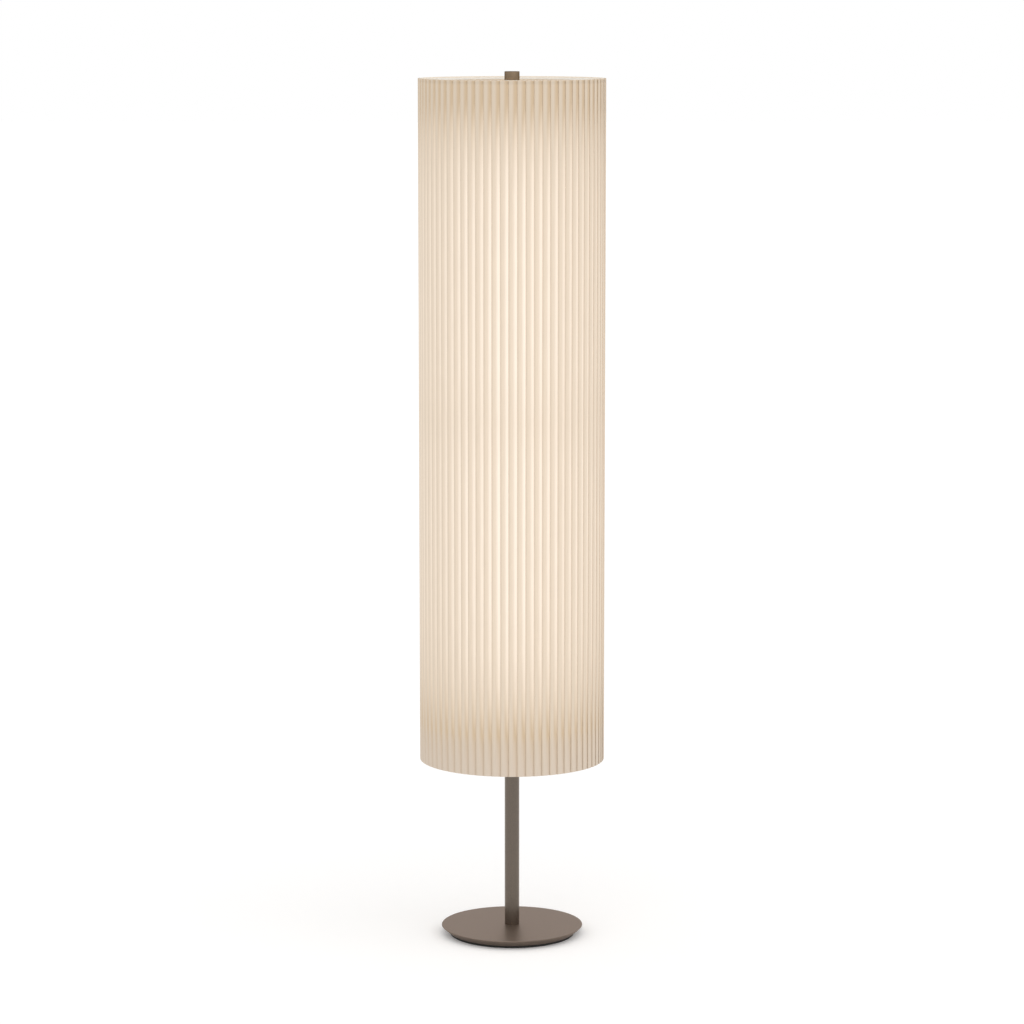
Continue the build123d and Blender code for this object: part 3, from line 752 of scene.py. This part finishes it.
# Collar set screws: headless, with a hexagon socket
setScrew = {
    "inner": 14.05 * mm,      # from the stem's axis, just clear of the tube
    "outer": 18.95 * mm,
    "radius": 2.0 * mm,
    "socket": 0.55,           # share of its radius
    "socketDepth": 2 * mm,
    "heading": 45,            # degrees round the stem
    "below": 6 * mm,          # the collar's top
}


def makeSetScrews():
    bm = bmesh.new()
    inner, outer, radius = setScrew["inner"], setScrew["outer"], setScrew["radius"]
    mouthRadius, heading = setScrew["socket"] * radius, math.radians(setScrew["heading"])
    out = Vector((math.cos(heading), math.sin(heading), 0))
    for name in ("centring_collar", "lower_foot_collar", "lower_head_collar",
                 "upper_foot_collar", "upper_head_collar"):
        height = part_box(name)[1].z - setScrew["below"]
        run = outer - inner
        points = [(0, 0), (0.8 * radius, 0), (radius, 0.4 * mm), (radius, run - 0.4 * mm),
                  (0.85 * radius, run), (mouthRadius, run)]
        older = set(bm.verts)
        turned(bm, points, steps=24)
        made = [v for v in bm.verts if v not in older]
        rim = [v for v in made if abs(math.hypot(v.co.x, v.co.y) - mouthRadius) < 1e-6]
        for vert in rim:                 # round mouth to hexagon
            turn = math.atan2(vert.co.y, vert.co.x) % math.radians(60) - math.radians(30)
            vert.co.x *= 0.9 / math.cos(turn)
            vert.co.y *= 0.9 / math.cos(turn)
        mouth = [e for e in bm.edges if e.verts[0] in rim and e.verts[1] in rim]
        wall = bmesh.ops.extrude_edge_only(bm, edges=mouth)["geom"]
        floor = [g for g in wall if isinstance(g, bmesh.types.BMVert)]
        bmesh.ops.translate(bm, vec=(0, 0, -setScrew["socketDepth"]), verts=floor)
        bmesh.ops.holes_fill(bm, edges=[g for g in wall if isinstance(g, bmesh.types.BMEdge)], sides=0)
        made = [v for v in bm.verts if v not in older]
        place = pointing(inner * out.x, inner * out.y, height, out)
        bmesh.ops.transform(bm, matrix=place, verts=made)
    finishedPiece("collarSetScrews", bm, zincSteel, "stand", "bright_steel", "collar_set_screws")


# Lampholders: moulded blocks with a lipped socket, a sunk face and a parting groove
holderLook = {
    "socket": 7.08 * mm,
    "socketDepth": 16 * mm,
    "lip": 2.2 * mm,          # width of the raised lip
    "faceDrop": 0.9 * mm,
    "corner": 9,              # higher is squarer
    "groove": 0.45 * mm,
}


def makeHolder(name, pieceName, out):
    low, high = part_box(name)
    depth, halfWide, halfHigh = high.y - low.y, (high.x - low.x) / 2, (high.z - low.z) / 2
    socket, lip = holderLook["socket"], holderLook["socket"] + holderLook["lip"]
    sunk, groove = depth - holderLook["faceDrop"], holderLook["groove"]
    bm = bmesh.new()

    # How far the rounded block reaches at an angle, less an inset
    def blockReach(turn, inset):
        power = holderLook["corner"]
        across = (abs(math.cos(turn)) / (halfWide - inset)) ** power
        upright = (abs(math.sin(turn)) / (halfHigh - inset)) ** power
        return (across + upright) ** (-1 / power)

    # Rings from the socket's floor out and round to the back: a radius, or an inset, and a height
    rings = [("round", socket, depth - holderLook["socketDepth"]), ("round", socket, depth - 0.7 * mm),
             ("round", socket + 0.6 * mm, depth), ("round", lip - 0.4 * mm, depth),
             ("round", lip, depth - 0.3 * mm), ("round", lip + 0.2 * mm, sunk),
             ("block", 2.2 * mm, sunk), ("block", 1.9 * mm, depth - 0.3 * mm),
             ("block", 1.4 * mm, depth - 0.1 * mm), ("block", 0.5 * mm, depth - 0.5 * mm),
             ("block", 0, depth - 1.3 * mm), ("block", 0, 0.58 * depth),
             ("block", groove, 0.56 * depth), ("block", groove, 0.52 * depth),
             ("block", 0, 0.50 * depth), ("block", 0, 0.4 * mm), ("block", 0.4 * mm, 0)]
    circle = bmesh.ops.create_circle(bm, cap_ends=False, segments=48, radius=socket)["verts"]
    edges = bm.edges[:]
    for kind, size, height in rings:
        if height != rings[0][2]:                # the first ring is the circle itself
            grown = bmesh.ops.extrude_edge_only(bm, edges=edges)["geom"]
            circle = [g for g in grown if isinstance(g, bmesh.types.BMVert)]
            edges = [g for g in grown if isinstance(g, bmesh.types.BMEdge)]
        for vert in circle:
            turn = math.atan2(vert.co.y, vert.co.x)
            reach = size if kind == "round" else blockReach(turn, size)
            vert.co = Vector((reach * math.cos(turn), reach * math.sin(turn), height))
    rims = [e for e in bm.edges if e.is_boundary]
    bmesh.ops.holes_fill(bm, edges=rims, sides=0)
    middle = (low.z + high.z) / 2
    back = low.y if out > 0 else high.y
    # The block's own X lies across the lamp and its Y along the height
    axes = Matrix(((out, 0, 0, 0), (0, 0, out, 0), (0, 1, 0, 0), (0, 0, 0, 1)))
    place = Matrix.Translation((0, back, middle)) @ axes
    bmesh.ops.transform(bm, matrix=place, verts=bm.verts[:])
    finishedPiece(pieceName, bm, whitePlastic, "stand", "white_plastic", name)


# Tube caps: moulded, with two grip grooves, a round peg into the socket and its contact pin
capLook = {
    "length": 30 * mm,
    "wall": 0.8 * mm,
    "groove": 0.35 * mm,
    "peg": 7.0 * mm,
    "pin": 2.0 * mm,
    "pinLength": 2.0 * mm,
    "pegInset": 15 * mm,      # from the tube's end
    "pegFrom": 54.9 * mm,     # from the stem's axis
    "proud": 0.04 * mm,       # how far the cap stands out past the glass
    "grooveStarts": (7.0, 23.0),              # mm from the tube's end
    "floor": 3 * mm,
}


def makeCaps(tier, side, out):
    node = f"{tier}_{side}_tube_caps"
    low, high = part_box(node)
    radius, run, wall, cut = high.x, capLook["length"], capLook["wall"], capLook["groove"]
    axisY = out * (max(abs(low.y), abs(high.y)) - radius - capLook["proud"])
    tip = min(abs(low.y), abs(high.y))
    floor, pegFrom = capLook["floor"], capLook["pegFrom"]
    points = [(0, 0), (radius - 1.6 * mm, 0), (radius - 0.5 * mm, 0.35 * mm), (radius, 1.4 * mm)]
    for start in capLook["grooveStarts"]:
        points += [(radius, start * mm), (radius - cut, (start + 0.3) * mm),
                   (radius - cut, (start + 1.5) * mm), (radius, (start + 1.8) * mm)]
    points += [(radius, run - 0.5 * mm), (radius - 0.3 * mm, run), (radius - wall, run),
               (radius - wall, floor), (0, floor)]
    peg, pin, pinLength = capLook["peg"], capLook["pin"], capLook["pinLength"]
    pegRun = pegFrom - tip
    pegPoints = [(0, 0), (peg, 0), (peg, pegRun - pinLength - 0.8 * mm),
                 (peg - 0.8 * mm, pegRun - pinLength), (pin, pegRun - pinLength),
                 (pin, pegRun - 0.5 * mm), (pin - 0.5 * mm, pegRun), (0, pegRun)]
    bm = bmesh.new()
    for end, away in ((low.z, 1), (high.z, -1)):
        turned(bm, points, steps=48, place=pointing(0, axisY, end, (0, 0, away)))
        pegAt = end + away * capLook["pegInset"]
        turned(bm, pegPoints, steps=32, place=pointing(0, out * pegFrom, pegAt, (0, -out, 0)))
    finishedPiece(f"{tier}{side.capitalize()}TubeCaps", bm, whitePlastic,
                  f"{tier}_{side}_tube", "white_plastic", node)


# Finial: a turned steel knob, its rims eased, with a shallow groove above its foot
finialLook = {
    "ease": 0.7 * mm,
    "groove": 0.8 * mm,
    "grooveHeight": 1.4 * mm,
    "screw": 4.0 * mm,
    "dish": 0.3 * mm,         # its top is very slightly hollow
}


def makeFinial():
    low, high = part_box("finial_knob")
    radius, tall, ease, cut = high.x, high.z - low.z, finialLook["ease"], finialLook["groove"]
    grooveTop = finialLook["grooveHeight"]
    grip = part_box("finial_screw")[1].z - low.z
    screw = finialLook["screw"]
    points = [(0, grip), (screw, grip), (screw, 0), (radius - cut, 0), (radius - cut, grooveTop),
              (radius - 0.3 * mm, grooveTop), (radius, grooveTop + 0.4 * mm), (radius, tall - ease),
              (radius - 0.3 * ease, tall - 0.3 * ease), (radius - ease, tall), (radius - 3 * mm, tall),
              (0.4 * radius, tall - 0.25 * mm), (0, tall - finialLook["dish"])]
    bm = bmesh.new()
    turned(bm, points, steps=64, place=Matrix.Translation((0, 0, low.z)))
    finishedPiece("finialKnob", bm, knobBronzeWarmLit, "finial", "bronze_paint", "finial_knob")


makeFootRing()
makeCordGland()
makeScrews()
makeSetScrews()
for tier in ("lower", "upper"):
    for side, out in (("front", -1), ("rear", 1)):
        for end in ("foot", "head"):
            pieceName = f"{tier}{side.capitalize()}{end.capitalize()}Holder"
            makeHolder(f"{tier}_{side}_{end}_holder", pieceName, out)
        makeCaps(tier, side, out)
makeFinial()
print("fittings made")

# Every CAD node that stays in view gets its finish, by the record's material slot
slotFinish = {
    "bronze_paint": bronze, "white_paint": whiteCoat, "bright_steel": zincSteel, "black_rubber": rubber,
    "liner_film": linerFilm, "frosted_glass": frostedGlass, "white_plastic": whitePlastic,
    "circuit_board": board, "cable_sheath": sheath,
}
for name, node in nodes.items():
    for slot in node.material_slots:
        if slot.material and slot.material.name in slotFinish:
            slot.material = slotFinish[slot.material.name]
for name in ("stem_tube", "stem_top_plug"):
    nodes[name].material_slots[0].material = stemBronze
print("nodes finished")
